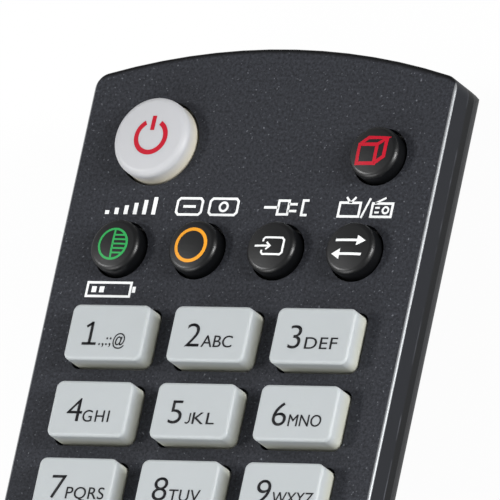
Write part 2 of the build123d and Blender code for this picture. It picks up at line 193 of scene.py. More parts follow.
def feed(shader, **fields):
    """Link varying values to the shader."""
    for key, field in fields.items():
        shader.id_data.links.new(field.socket, shader.inputs[key.replace("_", " ")])


def bump(height, depth, strength):
    """A normal from a height map, its depth in millimetres."""
    return height.node("ShaderNodeBump", Height=height, Distance=depth * MM, Strength=strength)


print("shader helpers are ready")


# %% [markdown]
# The upper housing is dark grey plastic. Its face has a fine metallic paint: a very fine noise mottles
# it, and the few highest peaks of a second one make small flecks. The paint stops at the edges. Along
# the sides the edge is half metal and smoother, so it reflects the lamp on the right, and its pale colour
# is a painted highlight that draws the thin bright line there. At the bowed ends the edge is painted
# nearly black, a painted shade. The sides are smooth and a little bluish. Their lower part, towards the
# parting line, is painted darker, a painted shade, and a broken pale streak of painted glints marks
# where it begins. All of it is masks on the height and the plan of the case.

# %% Upper housing masks
END_BOW = 82.0                              # radius of the bowed ends, seen from the front
EDGE_RADIUS = 0.35                          # of the rounding between the face and the sides
EDGE_FOOT = FACE_Z - EDGE_RADIUS
EDGE_LINE = HALF_WIDTH - EDGE_RADIUS
PAINT_START, PAINT_FULL = 0.1, 0.02         # below the face
RIM_START, RIM_FULL = 0.08, 0.14            # above the foot of the rounding
SHINE_START, SHINE_FULL = 0.04, 0.12        # outside the line where the rounding begins
SIDE_SHADE_TOP = 17.2                           # height where the painted shade low on the sides begins
GLINT_CORE, GLINT_END = 0.05, 0.14        # half the height of the painted glints, full and faded out

upper_case, shader, place = new_finish("upper_case", Specular_IOR_Level=0.13)
x, y, z = [place.node("ShaderNodeSeparateXYZ", output=axis, Vector=place) for axis in "XYZ"]
fine = grain(place, 3000.0, detail=3.0, rough=0.75)
flecks = grain(place, 2600.0, detail=1.0, rough=0.6).above(0.68, 0.76)
cloud = grain(place, 60.0, detail=3.0)
face = z.above((FACE_Z - PAINT_START) * MM, (FACE_Z - PAINT_FULL) * MM)
edge = z.above((EDGE_FOOT + RIM_START) * MM, (EDGE_FOOT + RIM_FULL) * MM)
# painted highlight: a pale, half-metal strip along the side edges for the lamp's bright line
painted_edge_highlight = edge * abs(x).above((EDGE_LINE + SHINE_START) * MM, (EDGE_LINE + SHINE_FULL) * MM)
bow = abs(y) - (TIP_Y - END_BOW) * MM
squared = x * x + bow * bow
reach = squared.math("SQRT", squared, 0.0)
# painted shade: the edge of the bowed ends is painted nearly black
painted_end_shade = edge * reach.above((END_BOW - 2 * EDGE_RADIUS) * MM, (END_BOW - EDGE_RADIUS) * MM)
# painted glints: a broken pale streak where the painted side shade begins
painted_glints = 1.0 - abs(z - SIDE_SHADE_TOP * MM).above(GLINT_CORE * MM, GLINT_END * MM)
painted_glints = painted_glints * grain(place, 170.0, detail=3.0).above(0.48, 0.62)
print("the rounding starts", round(EDGE_FOOT, 2), "mm up, the painted side shade begins", SIDE_SHADE_TOP, "mm up")

# %% [markdown]
# The masks are stacked like coats of paint, from the lowest to the highest: the sides with their painted
# shade low down and the painted glints, the speckled face, the painted shade on the edge of the ends and
# the painted highlight along the sides last. The roughness drifts a little with a slow noise, as on a
# surface that has been handled.

# %% Upper housing finish
FLECK_SHARE, GLINT_SHARE, END_SHADE_SHARE = 0.45, 0.5, 0.9
SIDE_SHADE_FADE = 0.3           # height over which the painted side shade fades out
mottle = blend(fine.above(0.36, 0.68), srgb(33, 34, 38), srgb(57, 59, 65))
paint = blend(flecks * FLECK_SHARE, mottle, srgb(134, 137, 144))
# painted shade: the lower part of each side is painted darker
upper = z.above((SIDE_SHADE_TOP - SIDE_SHADE_FADE) * MM, SIDE_SHADE_TOP * MM)
side_with_painted_light = blend(upper, srgb(15, 16, 18), srgb(23, 25, 30))
# painted glints: the pale streak laid over the side
side_with_painted_light = blend(painted_glints * GLINT_SHARE, side_with_painted_light, srgb(84, 86, 92))
# painted shade: the edge of the bowed ends goes nearly black
dull = blend(painted_end_shade * END_SHADE_SHARE, blend(face, side_with_painted_light, paint), srgb(6, 6, 7))
# painted highlight last: the pale strip along the side edges, half metal and smoother
feed(shader, Base_Color=blend(painted_edge_highlight, dull, srgb(138, 140, 142)), Metallic=0.5 * painted_edge_highlight,
     Roughness=0.5 + 0.08 * cloud - 0.15 * painted_edge_highlight, Normal=bump(fine * face, 0.03, 0.4))
print("upper housing:", len(upper_case.node_tree.nodes), "nodes")

# %% [markdown]
# The lower housing and the battery door come out of a spark-eroded mould: nearly black, with a fine
# sandy surface and no flecks.

# %% Lower housing finish
lower_case, shader, place = new_finish("lower_case", Specular_IOR_Level=0.25)
sand = grain(place, 2600.0, detail=3.0, rough=0.6)
wear = grain(place, 45.0, detail=4.0)
feed(shader, Base_Color=blend(wear, srgb(22, 23, 25), srgb(30, 31, 34)),
     Roughness=0.5 + 0.12 * wear, Normal=bump(sand, 0.06, 0.7))
print("lower housing:", len(lower_case.node_tree.nodes), "nodes")


# %% [markdown]
# Silicone keys have a soft satin surface. It is never quite even: the colour drifts a little and the
# moulding leaves a faint pebbling. Pale silicone lets some light through, which softens its edges, and
# it looks warmer low down, where the light has come the longest way. That warm light is painted: a
# blend over the height makes the colour warmer near the face.

# %% Silicone finish
FOOT_HEIGHT = 1.6         # height above the face over which the painted warm light fades out


def silicone(name, colour, roughness, drift=0.06, foot=None, **constants):
    material, shader, place = new_finish(name, **{"Specular_IOR_Level": 0.42, **constants})
    slow = grain(place, 130.0, detail=3.0)
    pebble = grain(place, 3800.0)
    darker = tuple((1 - drift) * c for c in colour[:3]) + (1.0,)
    lighter = tuple(min(1.0, (1 + drift) * c) for c in colour[:3]) + (1.0,)
    tone = blend(slow, darker, lighter)
    if foot:
        height = place.node("ShaderNodeSeparateXYZ", output="Z", Vector=place)
        # painted light: the colour is warmer low on the walls, for light that has come through the silicone
        tone = blend(height.above(FACE_Z * MM, (FACE_Z + FOOT_HEIGHT) * MM), foot, tone)
    feed(shader, Base_Color=tone, Roughness=roughness + 0.1 * slow, Normal=bump(pebble, 0.012, 0.6))
    return material


# painted light: the warm colours low on the walls of the pale keys
WARM_FOOT, GREENISH_FOOT = srgb(206, 200, 182), srgb(190, 191, 178)
PALE = {"Subsurface_Weight": 0.35, "Subsurface_Scale": 0.0009, "Subsurface_Radius": (1.0, 1.0, 0.9)}
FINISHES = {
    "upper_case": upper_case,
    "lower_case": lower_case,
    "silicone_web": silicone("silicone_web", srgb(36, 37, 39), 0.6),
    "power_key": silicone("power_key", srgb(188, 189, 192), 0.38, 0.02, WARM_FOOT, **PALE),
    "number_key": silicone("number_key", srgb(177, 182, 184), 0.42, 0.03, GREENISH_FOOT, **PALE),
    "black_key": silicone("black_key", srgb(8, 9, 11), 0.33, 0.1, Specular_IOR_Level=0.5),
    "red_key": silicone("red_key", srgb(190, 28, 34), 0.4),
    "green_key": silicone("green_key", srgb(40, 140, 70), 0.4),
    "yellow_key": silicone("yellow_key", srgb(235, 190, 40), 0.4),
    "blue_key": silicone("blue_key", srgb(35, 85, 170), 0.4),
}
print("finishes so far:", ", ".join(FINISHES))

# %% [markdown]
# Inside lie a brown paper-resin board with black moulded packages and a clear LED under it. They show
# only in cut-away views, so simple graphs are enough: a fine noise makes each surface a little uneven.

# %% Board finishes
board, shader, place = new_finish("board", Roughness=0.45)
weave = grain(place, 700.0)
feed(shader, Base_Color=blend(weave, srgb(120, 78, 40), srgb(150, 100, 56)),
     Normal=bump(weave, 0.02, 0.5))

package, shader, place = new_finish("black_package", Specular_IOR_Level=0.4)
pits = grain(place, 2500.0)
feed(shader, Base_Color=blend(pits, srgb(24, 24, 26), srgb(40, 40, 42)), Roughness=0.5 + 0.2 * pits)

lens_clear, shader, place = new_finish("led_lens", Roughness=0.08, Transmission_Weight=0.6)
haze = grain(place, 400.0)
feed(shader, Base_Color=blend(haze, srgb(214, 218, 240), srgb(226, 230, 248)))
print("made", board.name, package.name, "and", lens_clear.name)

# %% [markdown]
# The infrared window is a dark red acrylic that lets only infrared through, so it is nearly black and
# very smooth. Its gloss is a thin coat over a slightly rippled surface.

# %% Infrared window finish
window, shader, place = new_finish("ir_window", Specular_IOR_Level=0.5, Coat_Weight=0.4)
ripple = grain(place, 120.0)
feed(shader, Base_Color=blend(ripple, srgb(26, 6, 10), srgb(38, 9, 14)), Roughness=0.06 + 0.04 * ripple)
print("made", window.name)

# %% [markdown]
# A cell's jacket is printed metal foil: bright at both ends and dark round the middle. The band is a mask
# on the distance from the middle of the cell along the case.

# %% Cell jacket finish
CELL_MIDDLE_Y = -55.5
BAND_REACH, BAND_FADE = 12.0, 0.2        # half the length of the dark band, and its soft end
jacket, shader, place = new_finish("cell_jacket", Metallic=0.6)
along = place.node("ShaderNodeSeparateXYZ", output="Y", Vector=place)
scuff = grain(place, 900.0, detail=4.0)
foil = abs(along - CELL_MIDDLE_Y * MM).above(BAND_REACH * MM, (BAND_REACH + BAND_FADE) * MM)
feed(shader, Base_Color=blend(foil, srgb(70, 74, 82), srgb(180, 182, 186)), Roughness=0.28 + 0.15 * scuff)
print("the dark band is", 2 * BAND_REACH, "mm long")

# %% [markdown]
# Contacts are nickel-plated spring steel, screws are zinc-plated. Both are bare metal with fine uneven
# brushing, which a noise gives to the colour and to the roughness together.

# %% Metal finishes
nickel, shader, place = new_finish("contact_metal", Metallic=1.0)
brushed = grain(place, 1800.0, detail=3.0)
feed(shader, Base_Color=blend(brushed, srgb(196, 194, 188), srgb(222, 220, 214)),
     Roughness=0.2 + 0.15 * brushed)

zinc, shader, place = new_finish("screw_steel", Metallic=1.0)
dull = grain(place, 1500.0, detail=3.0)
feed(shader, Base_Color=blend(dull, srgb(170, 172, 176), srgb(204, 206, 208)), Roughness=0.3 + 0.2 * dull)

FINISHES.update({"board": board, "black_package": package, "led_lens": lens_clear, "ir_window": window,
                 "cell_jacket": jacket, "contact_metal": nickel, "screw_steel": zinc})
print("finishes made:", len(FINISHES))

# %% [markdown]
# The record says which finish each piece has, so one loop dresses them all.

# %% Dress the CAD pieces
for part in frame["record"]["subparts"]:
    slots = nodes[part["node"]].data.materials
    slots.clear()
    slots.append(FINISHES[part["material_slot"]])


# %% [markdown]
# The signs are printed on the silicone in thick ink, slightly uneven in colour and sheen. Each ink also
# names the finish in the record that its prints belong with.

# %% Inks
def ink(name, colour):
    material, shader, place = new_finish(name, Specular_IOR_Level=0.25)
    patchy = grain(place, 2200.0)
    fainter = tuple(0.88 * c for c in colour[:3]) + (1.0,)
    feed(shader, Base_Color=blend(patchy, fainter, colour), Roughness=0.4 + 0.1 * patchy)
    return material


INKS = {
    "white": (ink("white_ink", srgb(246, 248, 248)), "power_key"),
    "dark": (ink("dark_ink", srgb(17, 17, 21)), "black_key"),
    "red": (ink("red_ink", srgb(184, 10, 38)), "red_key"),
    "yellow": (ink("yellow_ink", srgb(236, 158, 40)), "yellow_key"),
    "green": (ink("green_ink", srgb(48, 160, 84)), "green_key"),
}
print("inks:", ", ".join(INKS))


# %% [markdown]
# A sign is drawn flat, a little above its key, as thin sheets: a pen with a few strokes is enough for all
# of them. Straight strokes are planes, a bent one is a row of planes whose ends meet on the mitre, and
# rings and discs are circles that are inset. Every sheet is cut finely enough to follow a domed cap.

# %% Pen
STROKE_CUTS = 3
RING_CORNERS = 72
MITRE_LIMIT = 0.4         # keeps the ends of a very sharp bend from running far out


def start_print(name):
    """A new empty mesh at the origin, in edit mode."""
    bpy.ops.object.select_all(action="DESELECT")
    bpy.ops.object.add(type="MESH", location=(0, 0, 0))
    piece = bpy.context.object
    piece.name = piece.data.name = name
    bpy.ops.object.mode_set(mode="EDIT")
    return piece


class Pen:
    """Draws strokes, discs and rings in millimetres about a point of the face."""

    def __init__(self, x, y, z):
        self.x, self.y, self.z = x, y, z

    def spot(self, x, y):
        return ((self.x + x) * MM, (self.y + y) * MM, self.z * MM)

    def bar(self, x0, y0, x1, y1, stroke):
        length = math.hypot(x1 - x0, y1 - y0)
        angle = math.atan2(y1 - y0, x1 - x0)
        bpy.ops.mesh.primitive_plane_add(size=1.0, location=(0, 0, 0))
        bpy.ops.transform.resize(value=(length * MM, stroke * MM, 1.0), center_override=(0, 0, 0))
        bpy.ops.transform.rotate(value=-angle, orient_axis="Z", center_override=(0, 0, 0))
        bpy.ops.transform.translate(value=self.spot((x0 + x1) / 2, (y0 + y1) / 2))
        bpy.ops.mesh.subdivide(number_cuts=STROKE_CUTS)

    def path(self, points, stroke, closed=False):
        """A stroke through the points with mitred corners: one plane for each stretch."""
        points = [Vector(point) for point in points]
        stretches = list(zip(points, points[1:] + points[:1])) if closed else list(zip(points, points[1:]))
        across = [(end - start).orthogonal().normalized() for start, end in stretches]
        sides = []
        for place in range(len(stretches) + 1):
            before = across[place - 1] if closed or place else across[0]
            after = across[place % len(across)] if closed or place < len(across) else across[-1]
            middle = (before + after).normalized()
            sides.append(middle * (stroke / 2 / max(MITRE_LIMIT, middle.dot(after))))
        for place, (start, end) in enumerate(stretches):
            near, far = sides[place], sides[place + 1]
            bpy.ops.mesh.primitive_plane_add(size=MM, location=self.spot(*start))
            sheet = bmesh.from_edit_mesh(bpy.context.object.data)
            corners = [vert for vert in sheet.verts if vert.select]
            for vert, spot in zip(corners, (start - near, end - far, start + near, end + far)):
                vert.co = self.spot(*spot)
            bmesh.update_edit_mesh(bpy.context.object.data)
            bpy.ops.mesh.subdivide(number_cuts=STROKE_CUTS)

    def disc(self, x, y, radius, corners=32, turn=0.0):
        bpy.ops.mesh.primitive_circle_add(
            vertices=corners, radius=radius * MM, fill_type="NGON", location=self.spot(x, y),
            rotation=(0, 0, math.radians(turn)))
        bpy.ops.mesh.inset(thickness=radius * MM * 0.4)

    def arrow(self, x, y, size, turn):
        """A triangle that points to the given side: 0 is right, 90 is up."""
        self.disc(x, y, size, 3, turn - 90)

    def ring(self, x, y, radius, stroke, gap=None):
        """A ring of the given middle radius. The gap runs between two angles, in degrees."""
        outer = radius + stroke / 2
        bpy.ops.mesh.primitive_circle_add(
            vertices=RING_CORNERS, radius=outer * MM, fill_type="NGON", location=self.spot(x, y))
        bpy.ops.mesh.inset(thickness=stroke * MM)
        bpy.ops.mesh.delete(type="FACE")
        if gap:
            sheet = bmesh.from_edit_mesh(bpy.context.object.data)
            centre = Vector(self.spot(x, y))
            for face in sheet.faces:
                offset = face.calc_center_median() - centre
                angle = math.degrees(math.atan2(offset.y, offset.x)) % 360
                near = abs(offset.length - radius * MM) < stroke * MM and len(face.verts) == 4
                if near and gap[0] < angle < gap[1]:
                    face.select_set(True)
            bmesh.update_edit_mesh(bpy.context.object.data)
            bpy.ops.mesh.delete(type="FACE")


print("the pen draws bars, paths, discs, arrows and rings")


# %% [markdown]
# A flat print becomes ink in two steps. A Shrinkwrap modifier presses the sheet down on the piece below
# it, a hair above its surface, so it follows the dome of a cap too. Solidify then gives it the thickness
# of ink. The print rides on the body of the piece that carries it.

# %% Press a print on
PRINT_LIFT = 0.012        # of the sheet above the surface
PRINT_WALL = 0.03         # of the ink, half of it on each side of the sheet


def press(piece, node, colour):
    """Lay a flat print on a CAD piece and give it the thickness of ink."""
    if bpy.context.mode != "OBJECT":
        bpy.ops.object.mode_set(mode="OBJECT")
    bpy.ops.object.select_all(action="DESELECT")
    piece.select_set(True)
    bpy.context.view_layer.objects.active = piece
    wrap = piece.modifiers.new("wrap", "SHRINKWRAP")
    wrap.target, wrap.wrap_method = nodes[node], "PROJECT"
    wrap.use_project_z, wrap.use_negative_direction, wrap.use_positive_direction = True, True, False
    wrap.offset = PRINT_LIFT * MM
    skin = piece.modifiers.new("skin", "SOLIDIFY")
    skin.thickness, skin.offset = PRINT_WALL * MM, 0.0
    for modifier in ("wrap", "skin"):
        bpy.ops.object.modifier_apply(modifier=modifier)
    material, slot = INKS[colour]
    piece.data.materials.clear()
    piece.data.materials.append(material)
    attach(piece, nodes[node]["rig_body"])


def cap_middle(node):
    """Middle of a key and the height of a plane above it, in millimetres."""
    low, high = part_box(node)
    return (low[0] + high[0]) / 2 / MM, (low[1] + high[1]) / 2 / MM, high[2] / MM + 1.0


print("ink stands", PRINT_LIFT + PRINT_WALL / 2, "mm proud")


# %% [markdown]
# Digits and letters come from Blender's own font. Text is made a mesh first, then scaled so that a capital
# has the height wanted, and moved so that its lower left corner lies on a given point.

# %% Writing
GLYPH_HEIGHT = 0.682      # of a capital in Blender's own font, at size 1
CURVE_STEPS = 6           # straight pieces to each curve of a letter


def write(name, node, text, height, left, base, colour, spread=1.0, stretch=1.0, thin=0.0):
    """Letters of a given height, their lower left corner at a point in millimetres."""
    bpy.ops.object.select_all(action="DESELECT")
    bpy.ops.object.text_add(location=(0, 0, 0))
    piece = bpy.context.object
    piece.name = name
    piece.data.body, piece.data.size, piece.data.space_character = text, 1.0, spread
    piece.data.resolution_u = CURVE_STEPS
    piece.data.offset = -thin
    bpy.ops.object.convert(target="MESH")
    piece = bpy.context.object
    piece.data.name = name
    bpy.ops.object.mode_set(mode="EDIT")
    bpy.ops.mesh.select_all(action="SELECT")
    scale = height * MM / GLYPH_HEIGHT
    bpy.ops.transform.resize(value=(scale * stretch, scale, 1.0), center_override=(0, 0, 0))
    corner = min(v.co.x for v in bmesh.from_edit_mesh(piece.data).verts)
    z = cap_middle(node)[2]
    bpy.ops.transform.translate(value=(left * MM - corner, base * MM, z * MM))
    press(piece, node, colour)


print("a capital is", GLYPH_HEIGHT, "of the text size")


# %% [markdown]
# The number keys carry a thin digit on the left and the letters that telephone keypads share on the
# right, all on one line. Blender's own font has a bare stroke for 1, so that digit is drawn with the pen
# from given strokes.

# %% Number prints
NUMBER_W, NUMBER_H = 9.92, 6.49
DIGIT_HEIGHT, LETTER_HEIGHT = 2.7, 1.34
DIGIT_LEFT, LETTER_LEFT, BASE_LINE = 2.16, 4.28, 1.7
DIGIT_STRETCH = 1.1
DIGIT_THIN = 0.008        # of the size of the text, off each side of its strokes
# letters, their spacing and their stretch
LETTERS = {"1": (".,:;@", 1.1, 0.84), "2": ("ABC", 1.0, 1.05), "3": ("DEF", 1.06, 1.24),
           "4": ("GHI", 1.14, 1.0), "5": ("KL", 1.1, 1.3), "6": ("MNO", 1.0, 0.93),
           "7": ("PQRS", 1.04, 1.06), "8": ("TUV", 1.04, 1.05), "9": ("WXYZ", 1.0, 0.88)}
LETTER_J_WIDTH = 0.95


def draw_one(pen):
    pen.bar(-0.05, 0.15, 1.75, 0.15, 0.3)
    pen.bar(0.88, 0.15, 0.88, DIGIT_HEIGHT, 0.34)
    pen.bar(0.2, 2.12, 0.9, 2.58, 0.28)


def draw_j(pen):
    pen.path([(0.6, LETTER_HEIGHT - 0.08), (0.6, 0.38), (0.5, 0.16), (0.3, 0.08), (0.08, 0.16)], 0.16)


def hand_drawn(name, node, draw, x, y):
    piece = start_print(name)
    draw(Pen(x, y, cap_middle(node)[2]))
    press(piece, node, "dark")


for digit in "0123456789":
    node = "key_" + digit
    x, y = cap_middle(node)[:2]
    left, base = x - NUMBER_W / 2, y - NUMBER_H / 2 + BASE_LINE
    if digit == "1":
        hand_drawn("digit_1", node, draw_one, left + DIGIT_LEFT, base)
    else:
        write("digit_" + digit, node, digit, DIGIT_HEIGHT, left + DIGIT_LEFT, base, "dark",
              stretch=DIGIT_STRETCH, thin=DIGIT_THIN)
    if digit in LETTERS:
        text, spread, stretch = LETTERS[digit]
        start = left + LETTER_LEFT
        if digit == "5":
            hand_drawn("letter_j", node, draw_j, start, base)
            start += LETTER_J_WIDTH
        write("letters_" + digit, node, text, LETTER_HEIGHT, start, base, "dark", spread, stretch)
print("keys with letters:", len(LETTERS))


# %% [markdown]
# All other signs are drawn with the pen about the middle of their key. One function makes the empty
# print, calls the drawing and presses it on, so each sign below is only its strokes.

# %% Sign maker
def sign(node, colour, draw, across=0.0, up=0.0):
    x, y, z = cap_middle(node)
    piece = start_print(node.replace("key_", "") + "_sign")
    draw(Pen(x + across, y + up, z))
    press(piece, node, colour)


def count(ending):
    """How many pieces have a name with this ending."""
    return sum(1 for piece in bpy.data.objects if piece.name.endswith(ending))


print("signs so far:", count("_sign"))


# %% [markdown]
# The power sign is the standard open ring with a bar through its gap. The other round keys carry plain
# signs: a wire cube, a half-filled ring, an empty ring, an arrow going into a frame, and two arrows.

# %% Round key prints
def draw_power(pen):
    pen.ring(0, 0, 1.85, 0.55, (60, 120))
    pen.bar(0, 0.75, 0, 2.45, 0.5)


def draw_cube(pen):
    pen.path([(-1.7, -1.45), (0.55, -1.45), (0.55, 0.75), (-1.7, 0.75)], 0.4, True)
    pen.path([(-1.7, 0.75), (-0.7, 1.55), (1.6, 1.55), (0.55, 0.75)], 0.4)
    pen.path([(1.6, 1.55), (1.6, -0.6), (0.55, -1.45)], 0.4)


def draw_half(pen):
    pen.ring(0, 0, 1.75, 0.26)
    pen.bar(0, -1.7, 0, 1.7, 0.24)
    for step in (-2, -1, 0, 1, 2):
        end = math.sqrt(1.75 ** 2 - (0.52 * step) ** 2)
        pen.bar(0, 0.52 * step, end, 0.52 * step, 0.2)


def draw_input(pen):
    pen.path([(-0.85, 0.5), (-0.85, 0.75), (-0.65, 0.97), (1.5, 0.97), (1.75, 0.72), (1.75, -0.72),
              (1.5, -0.97), (-0.65, -0.97), (-0.85, -0.75), (-0.85, -0.5)], 0.22)
    pen.bar(-1.85, 0.0, 0.1, 0.0, 0.22)
    pen.path([(-0.35, 0.42), (0.12, 0.0), (-0.35, -0.42)], 0.2)


def draw_swap(pen):
    for side in (-1, 1):
        pen.bar(-side * 1.75, side * 0.8, side * 1.2, side * 0.8, 0.28)
        pen.arrow(side * 1.3, side * 0.8, 0.7, 90 - side * 90)


sign("key_power", "red", draw_power, 0.3, -0.15)
sign("key_projection", "red", draw_cube)
sign("key_eco", "green", draw_half)
sign("key_picture", "yellow", lambda pen: pen.ring(0, 0, 1.85, 0.38))
sign("key_input", "white", draw_input)
sign("key_tv_radio", "white", draw_swap)
print("signs so far:", count("_sign"))


# %% [markdown]
# The first key of the bottom number row lists the stations and the last one goes back to the station
# before. The rockers carry plus and minus with a loudspeaker, and two chevrons with a stack of lines.

# %% Signs round the rockers
def draw_list(pen):
    for y in (-0.85, 0.0, 0.85):
        pen.bar(-1.25, y, -0.95, y, 0.3)
        pen.bar(-0.5, y, 1.3, y, 0.26)


def draw_recall(pen):
    pen.ring(0, 0, 1.05, 0.26, (95, 165))
    pen.arrow(-0.2, 1.05, 0.48, 180)


def draw_speaker(pen):
    pen.path([(-1.2, -0.4), (-0.7, -0.4), (-0.1, -0.95), (-0.1, 0.95), (-0.7, 0.4), (-1.2, 0.4)], 0.22, True)


def draw_volume(pen):
    for up in (-1, 1):
        pen.bar(-0.9, up * 6.9, 0.9, up * 6.9, 0.34)
    pen.bar(0, 6.0, 0, 7.8, 0.34)
    draw_speaker(pen)
    pen.path([(0.45, -0.45), (0.65, 0.0), (0.45, 0.45)], 0.2)
    pen.path([(0.9, -0.8), (1.25, 0.0), (0.9, 0.8)], 0.2)


def draw_channel(pen):
    for up in (-1, 1):
        pen.path([(-0.9, up * 6.5), (0.0, up * 7.4), (0.9, up * 6.5)], 0.34)
    for y in (-0.8, 0.0, 0.8):
        pen.bar(-1.1, y, 1.1, y, 0.24)


def draw_star(pen):
    corners = []
    for step in range(10):
        reach, angle = (1.55, 0.66)[step % 2], math.radians(90 + 36 * step)
        corners.append((reach * math.cos(angle), reach * math.sin(angle) - 0.1))
    pen.path(corners, 0.22, True)


def draw_mute(pen):
    draw_speaker(pen)
    pen.bar(0.4, -0.5, 1.4, 0.5, 0.24)
    pen.bar(0.4, 0.5, 1.4, -0.5, 0.24)


sign("key_list", "dark", draw_list)
sign("key_recall", "dark", draw_recall)
sign("rocker_volume", "white", draw_volume)
sign("rocker_channel", "white", draw_channel)
sign("key_favourite", "white", draw_star)
sign("key_mute", "white", draw_mute)
print("signs so far:", count("_sign"))


# %% [markdown]
# Menu keys: a toothed wheel, a house and an i. The pad has an arrow on each quarter and a ring in the
# middle. Below it are a bent arrow, a grid and a cross.

# %% Signs round the pad
def draw_wheel(pen):
    pen.ring(0, 0, 0.75, 0.28)
    for step in range(8):
        angle = math.radians(45 * step)
        c, d = math.cos(angle), math.sin(angle)
        pen.bar(0.85 * c, 0.85 * d, 1.3 * c, 1.3 * d, 0.3)


def draw_house(pen):
    pen.path([(-1.4, 0.1), (0.0, 1.25), (1.4, 0.1)], 0.24)
    pen.path([(-0.95, 0.2), (-0.95, -1.05), (0.95, -1.05), (0.95, 0.2)], 0.24)


def draw_info(pen):
    pen.bar(0, -1.1, 0, 0.35, 0.32)
    pen.disc(0, 0.95, 0.22, 16)


def draw_back(pen):
    pen.path([(-0.9, 0.55), (1.2, 0.55), (1.2, -0.75), (-1.1, -0.75)], 0.24)
    pen.arrow(-1.0, 0.55, 0.5, 180)


def draw_grid(pen):
    pen.path([(-1.4, -0.95), (1.4, -0.95), (1.4, 0.95), (-1.4, 0.95)], 0.2, True)
    pen.bar(-1.4, 0.3, 1.4, 0.3, 0.2)
    pen.bar(-1.4, -0.32, 1.4, -0.32, 0.2)
    pen.bar(-0.5, -0.95, -0.5, 0.95, 0.2)


def draw_cross(pen):
    pen.bar(-0.8, -0.8, 0.8, 0.8, 0.28)
    pen.bar(-0.8, 0.8, 0.8, -0.8, 0.28)


sign("key_settings", "white", draw_wheel)
sign("key_home", "white", draw_house)
sign("key_info", "white", draw_info)
sign("key_ok", "white", lambda pen: pen.ring(0, 0, 1.9, 0.4))
for turn, name in enumerate(("key_right", "key_up", "key_left", "key_down")):
    sign(name, "white", lambda pen: pen.arrow(0, 0, 0.95, 90 * turn))
sign("key_back", "white", draw_back)
sign("key_guide", "white", draw_grid)
sign("key_exit", "white", draw_cross)
print("signs so far:", count("_sign"))


# %% [markdown]
# The lowest rows switch text, subtitles and sound, and run a player. Their signs are the ones that
# players share: triangles, a square, two bars and a red dot.

# %% Signs of the lowest rows
def draw_page(pen):
    pen.path([(-0.95, -1.2), (0.95, -1.2), (0.95, 1.2), (-0.95, 1.2)], 0.2, True)
    for y in (-0.55, 0.0, 0.55):
        pen.bar(-0.5, y, 0.5, y, 0.18)


def draw_subtitle(pen):
    pen.path([(-1.5, -1.1), (1.5, -1.1), (1.5, 1.1), (-1.5, 1.1)], 0.2, True)
    pen.bar(-1.0, -0.55, 0.2, -0.55, 0.2)
    pen.bar(0.5, -0.55, 1.0, -0.55, 0.2)


def draw_note(pen):
    pen.disc(-0.65, -0.85, 0.36)
    pen.disc(0.85, -0.6, 0.36)
    pen.path([(-0.36, -0.85), (-0.36, 1.0), (1.14, 1.25), (1.14, -0.6)], 0.22)


def draw_skip(pen, way):
    for place in (-0.65, 0.55):
        pen.arrow(way * place, 0, 0.85, 90 - way * 90)


def draw_pause(pen):
    for x in (-0.45, 0.45):
        pen.bar(x, -0.9, x, 0.9, 0.42)


sign("key_text", "white", draw_page)
sign("key_subtitle", "white", draw_subtitle)
sign("key_audio", "white", draw_note)
sign("key_rewind", "white", lambda pen: draw_skip(pen, -1))
sign("key_play", "white", lambda pen: pen.arrow(-0.1, 0, 1.15, 0))
sign("key_forward", "white", lambda pen: draw_skip(pen, 1))
sign("key_stop", "white", lambda pen: pen.bar(-0.8, 0, 0.8, 0, 1.6))
sign("key_pause", "white", draw_pause)
sign("key_record", "red", lambda pen: pen.disc(0, 0, 0.9))
print("signs so far:", count("_sign"))


# %% [markdown]
# Plain strokes on the housing stand above and below the round keys, where such a remote says what they
# do: a row of rising bars, a picture in a frame, a plug, and a screen and a receiver with a stroke
# between them. They are ink on hard plastic, so they ride on the housing and don't move with the keys.

# %% Housing prints
def draw_bars(pen):
    for step, high in enumerate((0.45, 0.75, 1.05, 1.35, 1.7, 2.05)):
        pen.bar(-3.0 + 1.2 * step, -1.0, -3.0 + 1.2 * step, high - 1.0, 0.5)


def draw_frames(pen):
    for left, right in ((-3.9, -0.7), (0.3, 3.9)):
        pen.path([(left + 0.3, -0.95), (right - 0.3, -0.95), (right, -0.65), (right, 0.65),
                  (right - 0.3, 0.95), (left + 0.3, 0.95), (left, 0.65), (left, -0.65)], 0.28, True)
    pen.bar(-3.1, 0.0, -1.5, 0.0, 0.3)
    pen.ring(2.1, 0.0, 0.5, 0.26)


def draw_plug(pen):
    pen.bar(-2.9, 0.0, -1.1, 0.0, 0.3)
    pen.path([(-1.1, -0.8), (0.2, -0.8), (0.2, 0.8), (-1.1, 0.8)], 0.28, True)
    for y in (-0.4, 0.4):
        pen.bar(0.2, y, 1.3, y, 0.28)
    pen.path([(2.7, -0.85), (2.0, -0.85), (2.0, 0.85), (2.7, 0.85)], 0.28)


def draw_screen_and_receiver(pen):
    pen.path([(-3.3, -0.95), (-0.7, -0.95), (-0.7, 0.65), (-3.3, 0.65)], 0.28, True)
    pen.bar(-2.0, 0.65, -2.6, 1.3, 0.24)
    pen.bar(-2.0, 0.65, -1.4, 1.3, 0.24)
    pen.bar(-0.35, -1.1, 0.45, 1.2, 0.24)
    pen.path([(0.85, -0.95), (3.4, -0.95), (3.4, 0.6), (0.85, 0.6)], 0.28, True)
    pen.ring(2.6, -0.18, 0.36, 0.22)
    for y in (-0.45, 0.1):
        pen.bar(1.25, y, 1.8, y, 0.22)
    pen.bar(1.1, 0.6, 2.4, 1.25, 0.22)


def draw_gauge(pen):
    pen.path([(-3.2, -0.8), (2.4, -0.8), (2.4, 0.8), (-3.2, 0.8)], 0.28, True)
    pen.bar(2.85, -0.35, 2.85, 0.35, 0.4)
    for x in (-2.3, -1.3):
        pen.bar(x, -0.35, x, 0.35, 0.6)


LABEL_UP, GAUGE_UP = 24.6, 14.75        # from the middle of key 5


